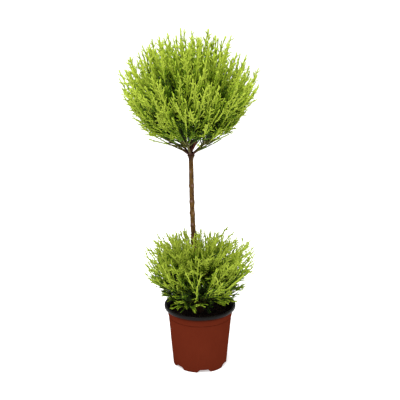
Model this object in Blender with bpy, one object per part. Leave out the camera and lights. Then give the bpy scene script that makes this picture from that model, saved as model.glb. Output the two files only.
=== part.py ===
"""Potted lemon cypress, trained as a ball on a bare stem over a bushy skirt.

Metres, +Z up. The origin is the centre of the pot's flat underside, and the front faces -Y.
The trunk, the boughs and the masses of foliage are separate solids, 0.3 mm clear of each other.
"""
import math

import bmesh
import bpy
import numpy as np
from mathutils import Matrix, Vector

GAP = 0.0003

# Pot: a thin moulded nursery pot with a rolled lip, a stacking shoulder and six feet
POT_HEIGHT = 0.125
LIP_RADIUS = 0.070
LIP_HEIGHT = 0.006
LIP_ROUND = 0.0012
WALL_TOP_RADIUS = 0.0634
WALL_BASE_RADIUS = 0.0527
WALL_THICKNESS = 0.0015
SHOULDER_HEIGHT = 0.102
SHOULDER_STEP = 0.0007
BASE_ROUND = 0.0025
FOOT_WIDTH = 0.005
FOOT_HEIGHT = 0.006
BOSS_RADIUS = 0.016
NOTCH_COUNT = 6
NOTCH_WIDTH = 0.020
NOTCH_HEIGHT = 0.0055
NOTCH_TURN = math.radians(-90 + 9)
POT_SIDES = 42

# Soil: potting compost, level round the stem and falling a little to the wall
SOIL_TOP = 0.1105
SOIL_FLAT_RADIUS = 0.014
SOIL_EDGE_DROP = 0.003

# Trunk: a slim stem that leans to -X, swells where the crown forks, and ends as the crown's leader
TRUNK_SIDES = 9
TRUNK_LEAN = -0.0167
FORK_HEIGHT = 0.4255
LEADER_HEIGHT = 0.062
TRUNK_FOOT_RADIUS = 0.0053
TRUNK_NECK_RADIUS = 0.0043
LEADER_ROOT_RADIUS = 0.0036
LEADER_TIP_RADIUS = 0.0022
ROOT_FLARE = 0.0038
ROOT_FLARE_LENGTH = 0.007
FORK_SWELLING = 0.0027
FORK_SWELLING_LENGTH = 0.0045
KNOT_HEIGHTS = (0.285, 0.309, 0.333, 0.365)
KNOT_SWELLING = 0.0006
KNOT_LENGTH = 0.0035

# Crown: a ball that fans up from the fork, with three tiers of masses
CROWN_HALF_WIDTH = 0.126
CROWN_HALF_HEIGHT = 0.116
CROWN_TILT = math.radians(-1.2)
CROWN_THIN_FROM = math.radians(42)
CROWN_THIN_TO = math.radians(62)
CROWN_THIN_SHARE = 0.26

# Bush: a low dome of shoots that fan out of the stem's foot
BUSH_POLE_HEIGHT = 0.118
BUSH_REACH = 0.148
BUSH_FALL_FROM = math.radians(40)
BUSH_FALL_TO = math.radians(78)
BUSH_FALL_SHARE = 0.54

# Limbs and foliage
BOUGH_SIDES = 6
BOUGH_ROOT_RADIUS = 0.0026
BOUGH_TIP_RADIUS = 0.0017
BOUGH_UPTURN = 0.78
TWIG_SIDES = 3
STEM_ROOT_RADIUS = 0.0020
STEM_TIP_RADIUS = 0.0014
STEM_BEND = 0.5
STEM_MIDDLE = 0.55
FIRST_JOINT = 0.15
LAST_JOINT = 0.98
LOW_FROM = math.radians(38)
LOW_TO = math.radians(62)
LOW_SWEEP_LOSS = 0.6
PLUME_CORE = 0.0015
PLUME_CORE_END = 0.0010
PLUME_TEETH = 3
PLUME_ROOM = 0.0032
FAN_MOST = 0.8
TOOTH_SHARE = 0.46
TOOTH_SHRINK = 0.16
TOOTH_VARIES = 0.15
TOOTH_SPOTS = (0.35, 0.7, 1.0)
TOOTH_ANGLE = math.radians(28)
TOOTH_LIFT = 0.003
SPACE_MARGIN = 0.0005
LIMB_MARGIN = 0.0006
SOIL_MARGIN = 0.002
FAN_TURNS = 6
SEED = 23
SEED_STEP = 100
ATTEMPTS = 24
ATTEMPTS_PER_COUNT = 4
GOLDEN = (math.sqrt(5) - 1) / 2
EDGE_ANGLE = math.radians(2)
AZIMUTH_SHARE = 0.92
FARTHEST = 1.035
AIM_SPREAD = 0.09
WELD = 0.00001

# Each tier of masses: how many, from which polar angle to which, where the bough starts, how
# long it is and how it rises, how far the stem runs, how many plumes it has, the length of
# their fans, and how strongly they sweep up
TIERS = (
    dict(name="crown_low", count=6, turn=20, low=44, high=73, height=0.000, bough=0.034,
         rise=57, stem=0.56, plumes=8, fan=0.056, sweep=0.16),
    dict(name="crown_high", count=4, turn=50, low=17, high=43, height=0.006, bough=0.044,
         rise=33, stem=0.58, plumes=11, fan=0.060, sweep=0.16),
    dict(name="crown_top", count=1, turn=0, low=0, high=16, height=LEADER_HEIGHT, bough=0.0,
         rise=0, stem=0.62, plumes=9, fan=0.060, sweep=0.16),
    dict(name="bush_low", count=7, turn=12, low=39, high=86, height=0.006, bough=0.026,
         rise=62, stem=0.50, plumes=7, fan=0.048, sweep=0.10),
    dict(name="bush_high", count=3, turn=75, low=7, high=37, height=0.034, bough=0.026,
         rise=24, stem=0.62, plumes=6, fan=0.048, sweep=0.10),
)


def clear_scene():
    """Take out whatever the scene holds before the plant is modelled."""
    for obj in list(bpy.data.objects):
        bpy.data.objects.remove(obj)


def make_material(name, colour, roughness):
    """A plain finish for one sub-part: colour in linear light, no metal."""
    material = bpy.data.materials.new(name)
    material.use_nodes = True
    shader = material.node_tree.nodes["Principled BSDF"]
    shader.inputs["Base Color"].default_value = (*colour, 1.0)
    shader.inputs["Roughness"].default_value = roughness
    shader.inputs["Metallic"].default_value = 0.0
    material.diffuse_color = (*colour, 1.0)
    return material


def link_mesh(name, vertices, faces, material=None):
    """Put a mesh made from points and faces into the scene under one name."""
    mesh = bpy.data.meshes.new(name)
    mesh.from_pydata([tuple(vertex) for vertex in vertices], [], faces)
    mesh.update()
    if material:
        mesh.materials.append(material)
    obj = bpy.data.objects.new(name, mesh)
    bpy.context.scene.collection.objects.link(obj)
    return obj


def smooth_step(value, start, end):
    """0 below start, 1 above end, and a smooth rise between them."""
    share = min(max((value - start) / (end - start), 0.0), 1.0)
    return share * share * (3 - 2 * share)


def bump(value, centre, length):
    """A bell-shaped swelling of height 1 around centre."""
    return math.exp(-((value - centre) / length) ** 2)


def turned(name, profile, sides, material):
    """Spin a closed profile of (radius, height) points that starts and ends on the axis."""
    mesh = bmesh.new()
    points = [mesh.verts.new((radius, 0, height)) for radius, height in profile]
    edges = [mesh.edges.new(pair) for pair in zip(points, points[1:])]
    bmesh.ops.spin(mesh, geom=points + edges, cent=(0, 0, 0), axis=(0, 0, 1),
                   angle=2 * math.pi, steps=sides, use_merge=True)
    bmesh.ops.remove_doubles(mesh, verts=mesh.verts, dist=0.00001)
    bmesh.ops.recalc_face_normals(mesh, faces=mesh.faces)
    data = bpy.data.meshes.new(name)
    mesh.to_mesh(data)
    mesh.free()
    data.materials.append(material)
    data.shade_smooth()
    data.set_sharp_from_angle(angle=math.radians(35))
    obj = bpy.data.objects.new(name, data)
    bpy.context.scene.collection.objects.link(obj)
    return obj


def wall_radius(height):
    """Outer radius of the pot's tapered wall, with the small step out at the shoulder."""
    share = height / (POT_HEIGHT - LIP_HEIGHT)
    radius = WALL_BASE_RADIUS + (WALL_TOP_RADIUS - WALL_BASE_RADIUS) * share
    return radius + (SHOULDER_STEP if height > SHOULDER_HEIGHT else 0.0)


def make_pot(material):
    """The pot: one turned shell, with notches cut between the feet for drainage."""
    lip_foot = POT_HEIGHT - LIP_HEIGHT
    floor = FOOT_HEIGHT + WALL_THICKNESS
    foot_inner = WALL_BASE_RADIUS - FOOT_WIDTH
    step = SHOULDER_STEP * 2
    profile = [
        (0, 0), (BOSS_RADIUS, 0), (BOSS_RADIUS + 0.002, FOOT_HEIGHT),
        (foot_inner - 0.002, FOOT_HEIGHT), (foot_inner, 0),
        (WALL_BASE_RADIUS - BASE_ROUND, 0), (WALL_BASE_RADIUS - BASE_ROUND * 0.3, BASE_ROUND * 0.3),
        (wall_radius(BASE_ROUND), BASE_ROUND),
        (wall_radius(SHOULDER_HEIGHT), SHOULDER_HEIGHT),
        (wall_radius(SHOULDER_HEIGHT + step), SHOULDER_HEIGHT + step),
        (wall_radius(lip_foot), lip_foot),
        (LIP_RADIUS - LIP_ROUND, lip_foot), (LIP_RADIUS, lip_foot + LIP_ROUND),
        (LIP_RADIUS, POT_HEIGHT - LIP_ROUND), (LIP_RADIUS - LIP_ROUND, POT_HEIGHT),
        (wall_radius(lip_foot) - WALL_THICKNESS + LIP_ROUND, POT_HEIGHT),
        (wall_radius(lip_foot) - WALL_THICKNESS, POT_HEIGHT - LIP_ROUND),
        (wall_radius(SHOULDER_HEIGHT + step) - WALL_THICKNESS, SHOULDER_HEIGHT + step),
        (wall_radius(SHOULDER_HEIGHT) - WALL_THICKNESS, SHOULDER_HEIGHT),
        (wall_radius(floor) - WALL_THICKNESS, floor), (0, floor),
    ]
    pot = turned("pot", profile, POT_SIDES, material)
    depth = FOOT_WIDTH * 3
    for index in range(NOTCH_COUNT):
        turn = NOTCH_TURN + index * 2 * math.pi / NOTCH_COUNT
        cutter_mesh = bmesh.new()
        bmesh.ops.create_cube(cutter_mesh, size=1.0)
        bmesh.ops.scale(cutter_mesh, vec=(depth, NOTCH_WIDTH, NOTCH_HEIGHT * 2), verts=cutter_mesh.verts)
        bmesh.ops.translate(cutter_mesh, vec=(WALL_BASE_RADIUS, 0, 0), verts=cutter_mesh.verts)
        bmesh.ops.rotate(cutter_mesh, cent=(0, 0, 0), matrix=Matrix.Rotation(turn, 3, "Z"),
                         verts=cutter_mesh.verts)
        data = bpy.data.meshes.new(f"notch_cutter_{index}")
        cutter_mesh.to_mesh(data)
        cutter_mesh.free()
        cutter = bpy.data.objects.new(f"notch_cutter_{index}", data)
        bpy.context.scene.collection.objects.link(cutter)
        cutter.hide_render = True
        cutter.display_type = "WIRE"
        cut = pot.modifiers.new(f"notch_{index}", "BOOLEAN")
        cut.operation = "DIFFERENCE"
        cut.object = cutter
    return pot


def make_soil(material):
    """The compost that fills the pot, clear of its wall and floor by the gap."""
    floor = FOOT_HEIGHT + WALL_THICKNESS + GAP
    inset = WALL_THICKNESS + GAP * 1.2
    step = SHOULDER_STEP * 2
    edge = SOIL_TOP - SOIL_EDGE_DROP
    profile = [
        (0, floor), (wall_radius(floor) - inset, floor),
        (wall_radius(SHOULDER_HEIGHT) - inset, SHOULDER_HEIGHT),
        (wall_radius(SHOULDER_HEIGHT + step) - inset, SHOULDER_HEIGHT + step),
        (wall_radius(edge) - inset, edge),
        (0.7 * wall_radius(edge), SOIL_TOP - 0.6 * SOIL_EDGE_DROP),
        (SOIL_FLAT_RADIUS, SOIL_TOP), (0, SOIL_TOP),
    ]
    return turned("soil", profile, POT_SIDES, material)


def trunk_centre(height):
    """Centre of the trunk at a height: it leans off quickly at first, then rises straight."""
    share = (height - SOIL_TOP) / (FORK_HEIGHT - SOIL_TOP)
    if share > 1:
        return Vector((TRUNK_LEAN + math.tan(CROWN_TILT) * (height - FORK_HEIGHT), 0, height))
    return Vector((TRUNK_LEAN * (1 - (1 - share) ** 2), 0, height))


def trunk_radius(height):
    """Radius of the trunk at a height, with its root flare, knots and fork swelling."""
    if height > FORK_HEIGHT:
        share = min((height - FORK_HEIGHT) / LEADER_HEIGHT, 1.0)
        radius = LEADER_ROOT_RADIUS + (LEADER_TIP_RADIUS - LEADER_ROOT_RADIUS) * share
    else:
        share = (height - SOIL_TOP) / (FORK_HEIGHT - SOIL_TOP)
        radius = TRUNK_FOOT_RADIUS + (TRUNK_NECK_RADIUS - TRUNK_FOOT_RADIUS) * share
    radius += ROOT_FLARE * math.exp(-(height - SOIL_TOP) / ROOT_FLARE_LENGTH)
    radius += FORK_SWELLING * bump(height, FORK_HEIGHT, FORK_SWELLING_LENGTH)
    radius += sum(KNOT_SWELLING * bump(height, knot, KNOT_LENGTH) for knot in KNOT_HEIGHTS)
    return radius


def cross_axes(direction):
    """Two unit vectors square to a direction and to each other."""
    guide = Vector((0, 0, 1)) if abs(direction.z) < 0.9 else Vector((1, 0, 0))
    first = direction.cross(guide).normalized()
    return first, direction.cross(first).normalized()


def tube(name, centres, radii, sides, material=None, level=False):
    """A closed tapering limb: one ring of points round each centre, and a cap at each end."""
    vertices = []
    for index, centre in enumerate(centres):
        ahead = centres[min(index + 1, len(centres) - 1)]
        behind = centres[max(index - 1, 0)]
        direction = Vector((0, 0, 1)) if level else (ahead - behind).normalized()
        first, second = cross_axes(direction)
        for side in range(sides):
            angle = 2 * math.pi * side / sides
            vertices.append(centre + radii[index] * (first * math.cos(angle) + second * math.sin(angle)))
    faces = [tuple(reversed(range(sides)))]
    for ring in range(len(centres) - 1):
        for side in range(sides):
            here = ring * sides + side
            beside = ring * sides + (side + 1) % sides
            faces.append((here, beside, beside + sides, here + sides))
    faces.append(tuple(range((len(centres) - 1) * sides, len(centres) * sides)))
    obj = link_mesh(name, vertices, faces, material)
    face_outwards(obj.data)
    return obj


def face_outwards(data):
    """Turn every face of a closed mesh to point out."""
    mesh = bmesh.new()
    mesh.from_mesh(data)
    bmesh.ops.recalc_face_normals(mesh, faces=mesh.faces)
    mesh.to_mesh(data)
    mesh.free()


def trunk_heights():
    """Heights of the trunk's rings: even along the stem, closer at its foot, knots and fork."""
    foot = SOIL_TOP + GAP
    tip = FORK_HEIGHT + LEADER_HEIGHT
    heights = {foot + step for step in (0.0, 0.003, 0.007, 0.013, 0.022)}
    heights.update(np.arange(foot + 0.036, FORK_HEIGHT - 0.012, 0.016).tolist())
    for knot in KNOT_HEIGHTS:
        heights = {height for height in heights if abs(height - knot) > 0.006}
        heights.update((knot - KNOT_LENGTH * 1.4, knot, knot + KNOT_LENGTH * 1.4))
    heights.update(FORK_HEIGHT + FORK_SWELLING_LENGTH * step for step in (-2, -1.2, -0.5, 0, 0.5, 1.2, 2))
    heights.update((FORK_HEIGHT + LEADER_HEIGHT * 0.5, tip))
    return sorted(heights)


def curve_points(start, bend, end, count):
    """Points along the quadratic curve from start to end that heads for bend first."""
    shares = [index / count for index in range(count + 1)]
    return [start * (1 - s) ** 2 + bend * (2 * s * (1 - s)) + end * s * s for s in shares]


def crown_reach(polar):
    """Distance from the fork to the crown's surface: an upright ellipse through the fork."""
    squash = CROWN_HALF_HEIGHT / CROWN_HALF_WIDTH
    down = math.cos(polar) ** 2 + (squash * math.sin(polar)) ** 2
    thin = CROWN_THIN_SHARE * smooth_step(polar, CROWN_THIN_FROM, CROWN_THIN_TO)
    return 2 * CROWN_HALF_HEIGHT * math.cos(polar) / down * (1 - thin)


def bush_reach(polar):
    """Distance from the bush's pole to its surface: a dome that draws in near the soil."""
    return BUSH_REACH * (1 - BUSH_FALL_SHARE * smooth_step(polar, BUSH_FALL_FROM, BUSH_FALL_TO))


def polar_spread(reach, low, high, share):
    """Polar angle below which a share of the surface between two polar angles lies."""
    angles = np.linspace(low, high, 200)
    area = np.cumsum([reach(angle) ** 2 * math.sin(angle) for angle in angles])
    return float(np.interp(share * area[-1], area, angles))


def heading(azimuth, polar):
    """Unit vector at an azimuth and a polar angle."""
    return Vector((math.sin(polar) * math.cos(azimuth), math.sin(polar) * math.sin(azimuth),
                   math.cos(polar)))


def stretch_distance(point, start, end):
    """Distance from a point to a straight stretch, and the share of the stretch it is at."""
    along = end - start
    share = min(max((point - start).dot(along) / along.length_squared, 0.0), 1.0)
    return (point - start - along * share).length, share


class Limbs:
    """The limbs made so far, which no twig or spray may touch."""

    def __init__(self):
        self.stretches = []

    def add(self, centres, radii):
        """Note a limb as straight stretches with a radius at each end."""
        for index in range(len(centres) - 1):
            self.stretches.append((centres[index], centres[index + 1], radii[index], radii[index + 1]))

    def clear_of(self, point):
        """Whether a point is outside every limb by the margin."""
        for start, end, first, second in self.stretches:
            distance, share = stretch_distance(point, start, end)
            if distance < first + (second - first) * share + LIMB_MARGIN:
                return False
        return True


class Space:
    """The space one mass keeps to: a sector of a dome round its pole."""

    def __init__(self, tier, index, pole, tilt, reach):
        self.pole = pole
        self.frame = Matrix.Rotation(tilt, 3, "Y")
        self.reach = reach
        self.low = math.radians(tier["low"])
        self.high = math.radians(tier["high"])
        self.half = math.pi / tier["count"]
        self.azimuth = math.radians(tier["turn"]) + 2 * self.half * index
        self.whole = tier["count"] == 1

    def place(self, azimuth, polar, distance):
        """The point at an azimuth, a polar angle and a distance from the pole."""
        return self.pole + self.frame @ (heading(azimuth, polar) * distance)

    def polar_of(self, point):
        """Polar angle at which a point is seen from the pole."""
        local = self.frame.transposed() @ (point - self.pole)
        return math.acos(local.z / local.length)

    def holds(self, point):
        """Whether a point lies in the sector, inside the reach and clear of soil and pot."""
        local = self.frame.transposed() @ (point - self.pole)
        distance = local.length
        polar = self.polar_of(point)
        if (polar - self.low) * distance < SPACE_MARGIN and self.low > 0:
            return False
        if (self.high - polar) * distance < SPACE_MARGIN:
            return False
        if distance > self.reach(polar) * 1.05:
            return False
        if not self.whole:
            offset = math.atan2(local.y, local.x) - self.azimuth
            offset = abs(math.atan2(math.sin(offset), math.cos(offset)))
            if distance * math.sin(polar) * math.sin(self.half - offset) < SPACE_MARGIN:
                return False
        if point.z < SOIL_TOP + SOIL_MARGIN:
            return False
        beside = math.hypot(point.x, point.y)
        inner = wall_radius(POT_HEIGHT) - WALL_THICKNESS - SOIL_MARGIN
        return point.z > POT_HEIGHT + SOIL_MARGIN or beside < inner


class Crowd:
    """Where the plumes of one mass already are, so that the next ones keep clear of them."""

    def __init__(self):
        self.points = np.zeros((0, 3))

    def add(self, points):
        """Note the sample points of one more plume."""
        self.points = np.vstack([self.points, np.array([tuple(point) for point in points])])

    def clear_of(self, point):
        """Whether a point has a plume's room to every point noted."""
        if not len(self.points):
            return True
        return bool(((self.points - np.array(point)) ** 2).sum(axis=1).min() > PLUME_ROOM ** 2)


def plume_mesh(name, path, fan, side, tests, crowd, rng):
    """One plume and its sample points, or None where its core fails one of the tests.

    A core with a diamond section runs up the path. Over its last stretch, the fan, both edges
    of the core stand out in forward teeth, so that the plume ends as a toothed blade. A tooth
    that fails a test is skipped: it would leave the space, touch a limb or cross a plume.
    """
    def fits(point):
        return all(test(point) for test in tests) and crowd.clear_of(point)

    length = sum((after - before).length for before, after in zip(path, path[1:]))
    fan = min(fan, length * FAN_MOST)
    bare = 1 - fan / length
    step = (1 - bare) / (PLUME_TEETH + 1)
    stations = [0.0] + [bare + step * k for k in range(PLUME_TEETH + 1)]
    rings = []
    for station in stations + [1.0]:
        place = station * (len(path) - 1)
        index = min(int(place), len(path) - 2)
        centre = path[index].lerp(path[index + 1], place - index)
        along = (path[index + 1] - path[index]).normalized()
        across = (side - along * side.dot(along)).normalized()
        rings.append((centre, along, across, along.cross(across)))
    samples = [ring[0] for ring in rings[1:]]
    samples += [first.lerp(second, 0.5) for first, second in zip(samples, samples[1:])]
    if not all(fits(point) for point in samples):
        return None, []
    vertices = []
    faces = [(3, 2, 1, 0)]
    for station, (centre, along, across, normal) in zip(stations, rings):
        core = PLUME_CORE + (PLUME_CORE_END - PLUME_CORE) * station
        vertices += [centre + across * core, centre + normal * core, centre - across * core,
                     centre - normal * core]
    for index in range(len(stations) - 1):
        here = 4 * index
        ahead = here + 4
        above, below = here + 1, here + 3
        centre, along, across, normal = rings[index]
        for edge, sign in ((0, 1), (2, -1)):
            reach = fan * (TOOTH_SHARE - TOOTH_SHRINK * (index - 1) / PLUME_TEETH)
            out = along * math.cos(TOOTH_ANGLE) + across * sign * math.sin(TOOTH_ANGLE)
            root = vertices[here + edge]
            point = root + out * reach * (1 + TOOTH_VARIES * (2 * rng.random() - 1))
            point += normal * TOOTH_LIFT * (2 * rng.random() - 1)
            spots = [root.lerp(point, share) for share in TOOTH_SPOTS]
            if index < 1 or not all(fits(spot) for spot in spots):
                faces.append((above, here + edge, ahead + edge, ahead + 1))
                faces.append((below, ahead + 3, ahead + edge, here + edge))
                continue
            samples += spots
            tooth = len(vertices)
            vertices.append(point)
            faces += [(above, here + edge, tooth), (above, tooth, ahead + edge),
                      (above, ahead + edge, ahead + 1), (below, tooth, here + edge),
                      (below, ahead + edge, tooth), (below, ahead + 3, ahead + edge)]
    last = 4 * (len(stations) - 1)
    tip = len(vertices)
    vertices.append(rings[-1][0])
    faces += [(last + k, last + (k + 1) % 4, tip) for k in range(4)]
    plume = link_mesh(name, vertices, faces)
    face_outwards(plume.data)
    return plume, samples


def fullest_plume(name, path, fan, tests, crowd, rng):
    """Turn a plume's fan about its core until most of its teeth fit."""
    first, second = cross_axes((path[-1] - path[0]).normalized())
    best, most = None, []
    begin = rng.random()
    for turn in range(FAN_TURNS):
        angle = math.pi * (begin + turn / FAN_TURNS)
        side = first * math.cos(angle) + second * math.sin(angle)
        plume, samples = plume_mesh(name, path, fan, side, tests, crowd, rng)
        if len(samples) > len(most):
            best, plume, most = plume, best, samples
        if plume:
            bpy.data.objects.remove(plume)
    if best:
        crowd.add(most)
    return best


def sweep_bend(tier, space, root, aim):
    """Bend of a plume: below the middle of its run by a share of it, so that it sweeps up."""
    run = aim - root
    up = space.frame @ Vector((0.0, 0.0, 1.0))
    rise = up - run * (run.dot(up) / run.length_squared)
    low = smooth_step(space.polar_of(aim), LOW_FROM, LOW_TO)
    return root.lerp(aim, 0.5) - rise * run.length * tier["sweep"] * (1 - LOW_SWEEP_LOSS * low)


def grow_mass(name, tier, space, start, direction, limbs, attempt, order, material):
    """Grow one mass from its stem: plumes spread evenly over its part of the dome."""
    rng = np.random.default_rng(SEED + order + attempt * SEED_STEP)
    plumes = tier["plumes"] - attempt // ATTEMPTS_PER_COUNT
    middle = 0.0 if space.whole else space.low + (space.high - space.low) * STEM_MIDDLE
    end = space.place(space.azimuth, middle, space.reach(middle) * tier["stem"])
    run = (end - start).length
    stem = curve_points(start, start + direction * run * STEM_BEND, end, 4)
    radii = np.linspace(STEM_ROOT_RADIUS, STEM_TIP_RADIUS, len(stem)).tolist()
    base = tube(name, stem, radii, TWIG_SIDES, material)
    offset = rng.random()
    aims = []
    for index in range(plumes):
        across = ((index * GOLDEN + offset) % 1.0) * 2 - 1
        share = (index + 0.5) / plumes
        polar = polar_spread(space.reach, space.low, space.high - EDGE_ANGLE, share)
        azimuth = space.azimuth + across * space.half * (1.0 if space.whole else AZIMUTH_SHARE)
        distance = space.reach(polar) * (FARTHEST - AIM_SPREAD * rng.random())
        aims.append(space.place(azimuth, polar, distance))
    ahead = (end - stem[-2]).normalized()
    aims.sort(key=lambda aim: (aim - end).normalized().dot(ahead))
    tests = (space.holds, limbs.clear_of)
    crowd = Crowd()
    parts = []
    for index, aim in enumerate(aims):
        share = FIRST_JOINT + (LAST_JOINT - FIRST_JOINT) * index / max(plumes - 1, 1)
        station = share * (len(stem) - 1)
        joint = int(station)
        root = stem[joint].lerp(stem[joint + 1], station - joint)
        path = curve_points(root, sweep_bend(tier, space, root, aim), aim, 8)
        plume = fullest_plume(f"{name}_{index}", path, tier["fan"], tests, crowd, rng)
        if plume:
            parts.append(plume)
    fuse(base, parts)
    return base


def is_closed(data):
    """Whether every edge of a mesh joins two faces, with no slit narrower than the weld."""
    mesh = bmesh.new()
    mesh.from_mesh(data)
    bmesh.ops.remove_doubles(mesh, verts=mesh.verts, dist=WELD)
    closed = all(len(edge.link_faces) == 2 for edge in mesh.edges)
    mesh.free()
    return closed


def fuse(base, parts):
    """Join a stem with its plumes into one closed skin, in one union."""
    group = bpy.data.collections.new(base.name + "_parts")
    bpy.context.scene.collection.children.link(group)
    for part in parts:
        group.objects.link(part)
    union = base.modifiers.new("union", "BOOLEAN")
    union.operation = "UNION"
    union.operand_type = "COLLECTION"
    union.collection = group
    union.solver = "MANIFOLD"
    graph = bpy.context.evaluated_depsgraph_get()
    joined = bpy.data.meshes.new_from_object(base.evaluated_get(graph))
    base.modifiers.clear()
    base.data = joined
    for part in parts:
        bpy.data.objects.remove(part)
    bpy.data.collections.remove(group)
    keep_main_shell(joined)


def keep_main_shell(data):
    """Drop the loose scraps and the skins of sealed hollows, which fills the hollows."""
    mesh = bmesh.new()
    mesh.from_mesh(data)
    bmesh.ops.remove_doubles(mesh, verts=mesh.verts, dist=WELD)
    bmesh.ops.dissolve_degenerate(mesh, edges=mesh.edges, dist=WELD)
    stray = [edge for edge in mesh.edges if not edge.link_faces]
    bmesh.ops.delete(mesh, geom=stray, context="EDGES")
    between = [vertex for vertex in mesh.verts if len(vertex.link_edges) == 2]
    bmesh.ops.dissolve_verts(mesh, verts=between)
    bmesh.ops.triangulate(mesh, faces=mesh.faces, ngon_method="EAR_CLIP")
    unseen = set(mesh.faces)
    shells = []
    while unseen:
        waiting = [unseen.pop()]
        shell = set(waiting)
        while waiting:
            beside = {face for edge in waiting.pop().edges for face in edge.link_faces} & unseen
            unseen -= beside
            shell |= beside
            waiting.extend(beside)
        shells.append(shell)
    main = max(shells, key=len)
    bmesh.ops.delete(mesh, geom=[face for face in mesh.faces if face not in main], context="FACES")
    mesh.to_mesh(data)
    mesh.free()


def make_bough(name, tier, space, root, limbs, trunk, material):
    """One tapering bough, seated on the trunk and cut to its side with the gap between."""
    rise = math.radians(tier["rise"])
    out = space.frame @ heading(space.azimuth, rise)
    up = space.frame @ heading(space.azimuth, rise * BOUGH_UPTURN)
    end = root + out * tier["bough"] * 0.5 + up * tier["bough"] * 0.5
    centres = curve_points(root, root + out * tier["bough"] * 0.5, end, 3)
    radii = np.linspace(BOUGH_ROOT_RADIUS, BOUGH_TIP_RADIUS, len(centres)).tolist()
    bough = tube(name, centres, radii, BOUGH_SIDES, material)
    cut_to_trunk(bough, trunk)
    limbs.add(centres, radii)
    return end, (centres[-1] - centres[-2]).normalized()


def cut_to_trunk(bough, trunk):
    """Cut a bough's root to the trunk's side, and keep the piece outside the trunk."""
    cut = bough.modifiers.new("seat", "BOOLEAN")
    cut.operation = "DIFFERENCE"
    cut.object = trunk
    graph = bpy.context.evaluated_depsgraph_get()
    seated = bpy.data.meshes.new_from_object(bough.evaluated_get(graph))
    bough.modifiers.clear()
    bough.data = seated
    keep_main_shell(seated)


def main():
    clear_scene()
    plastic = make_material("terracotta_plastic", (0.153, 0.026, 0.012), 0.55)
    compost = make_material("potting_compost", (0.012, 0.009, 0.006), 0.95)
    bark = make_material("young_bark", (0.160, 0.085, 0.035), 0.85)
    shoots = make_material("lemon_foliage", (0.230, 0.330, 0.030), 0.70)
    make_pot(plastic)
    make_soil(compost)
    heights = trunk_heights()
    centres = [trunk_centre(height) for height in heights]
    radii = [trunk_radius(height) for height in heights]
    tube("trunk", centres, radii, TRUNK_SIDES, bark, level=True)
    wider = [radius + GAP * 1.1 for radius in radii]
    cutter = tube("trunk_cutter", centres, wider, TRUNK_SIDES, level=True)
    limbs = Limbs()
    limbs.add(centres, radii)
    starts = []
    for tier in TIERS:
        if tier["name"].startswith("crown"):
            pole_height, tilt, reach = FORK_HEIGHT, CROWN_TILT, crown_reach
        else:
            pole_height, tilt, reach = BUSH_POLE_HEIGHT, 0.0, bush_reach
        for index in range(tier["count"]):
            space = Space(tier, index, trunk_centre(pole_height), tilt, reach)
            if tier["bough"]:
                root = trunk_centre(pole_height + tier["height"])
                end, direction = make_bough(f"{tier['name']}_bough_{index + 1}", tier, space, root,
                                            limbs, cutter, bark)
            else:
                end, direction = centres[-1], (centres[-1] - centres[-2]).normalized()
            starts.append((tier, index, space, end + direction * GAP, direction))
    bpy.data.objects.remove(cutter)
    for order, (tier, index, space, start, direction) in enumerate(starts):
        name = tier["name"] if tier["count"] == 1 else f"{tier['name']}_{index + 1}"
        for attempt in range(ATTEMPTS):
            mass = grow_mass(f"{name}_foliage", tier, space, start, direction, limbs, attempt,
                             order, shoots)
            if is_closed(mass.data):
                break
            bpy.data.objects.remove(mass)


main()
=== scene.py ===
"""Looks of a potted lemon cypress: a ball of feathery shoots on a bare stem over a bushy skirt."""
import math
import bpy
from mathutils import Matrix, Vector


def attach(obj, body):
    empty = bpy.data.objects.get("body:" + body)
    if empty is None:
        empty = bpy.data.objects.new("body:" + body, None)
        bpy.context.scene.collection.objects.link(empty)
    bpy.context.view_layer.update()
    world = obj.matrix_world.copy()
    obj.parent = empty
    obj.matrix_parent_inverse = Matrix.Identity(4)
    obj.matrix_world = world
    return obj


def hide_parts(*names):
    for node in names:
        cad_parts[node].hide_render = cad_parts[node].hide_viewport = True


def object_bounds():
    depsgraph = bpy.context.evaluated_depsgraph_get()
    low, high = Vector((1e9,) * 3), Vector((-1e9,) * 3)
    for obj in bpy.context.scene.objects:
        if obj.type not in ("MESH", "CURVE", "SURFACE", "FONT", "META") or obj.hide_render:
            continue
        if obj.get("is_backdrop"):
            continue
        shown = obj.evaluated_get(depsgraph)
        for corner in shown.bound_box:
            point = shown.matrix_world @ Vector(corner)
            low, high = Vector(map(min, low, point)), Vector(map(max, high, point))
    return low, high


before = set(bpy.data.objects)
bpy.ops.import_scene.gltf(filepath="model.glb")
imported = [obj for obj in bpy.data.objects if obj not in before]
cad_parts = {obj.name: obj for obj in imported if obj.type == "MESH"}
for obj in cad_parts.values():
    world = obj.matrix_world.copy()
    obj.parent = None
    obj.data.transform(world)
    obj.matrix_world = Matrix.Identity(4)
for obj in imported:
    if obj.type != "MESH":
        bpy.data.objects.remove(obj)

from types import SimpleNamespace

import bpy
import numpy as np

scene = bpy.context.scene
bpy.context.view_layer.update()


# The pot
# A round tapered nursery pot, vacuum formed in one piece from two-ply polypropylene sheet that is
# terracotta outside and black inside. Its lip is rolled over, and notches part its six feet.

POT_HEIGHT = 0.125
LIP_RADIUS = 0.070
LIP_HEIGHT = 0.006
LIP_DROP = 0.0004
LIP_EDGE_ROUNDING = 0.0014
LIP_ROLL = 0.0021
LIP_INNER_ROLL = 0.0012
# Height of a black band of painted shadow on the wall just under the lip.
BLACK_LIP_SHADOW = 0.0014
# Painted shadow under the lip darkens the terracotta: the heights it spans, how dark, how it fades.
LIP_SHADOW_HEIGHTS = (0.1112, 0.1162)
DARKEST_LIP_SHADOW = 0.85
LIP_SHADOW_POWER = 1.5
WALL_TOP_RADIUS = 0.0634
WALL_BASE_RADIUS = 0.0527
WALL_THICKNESS = 0.0015
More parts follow.
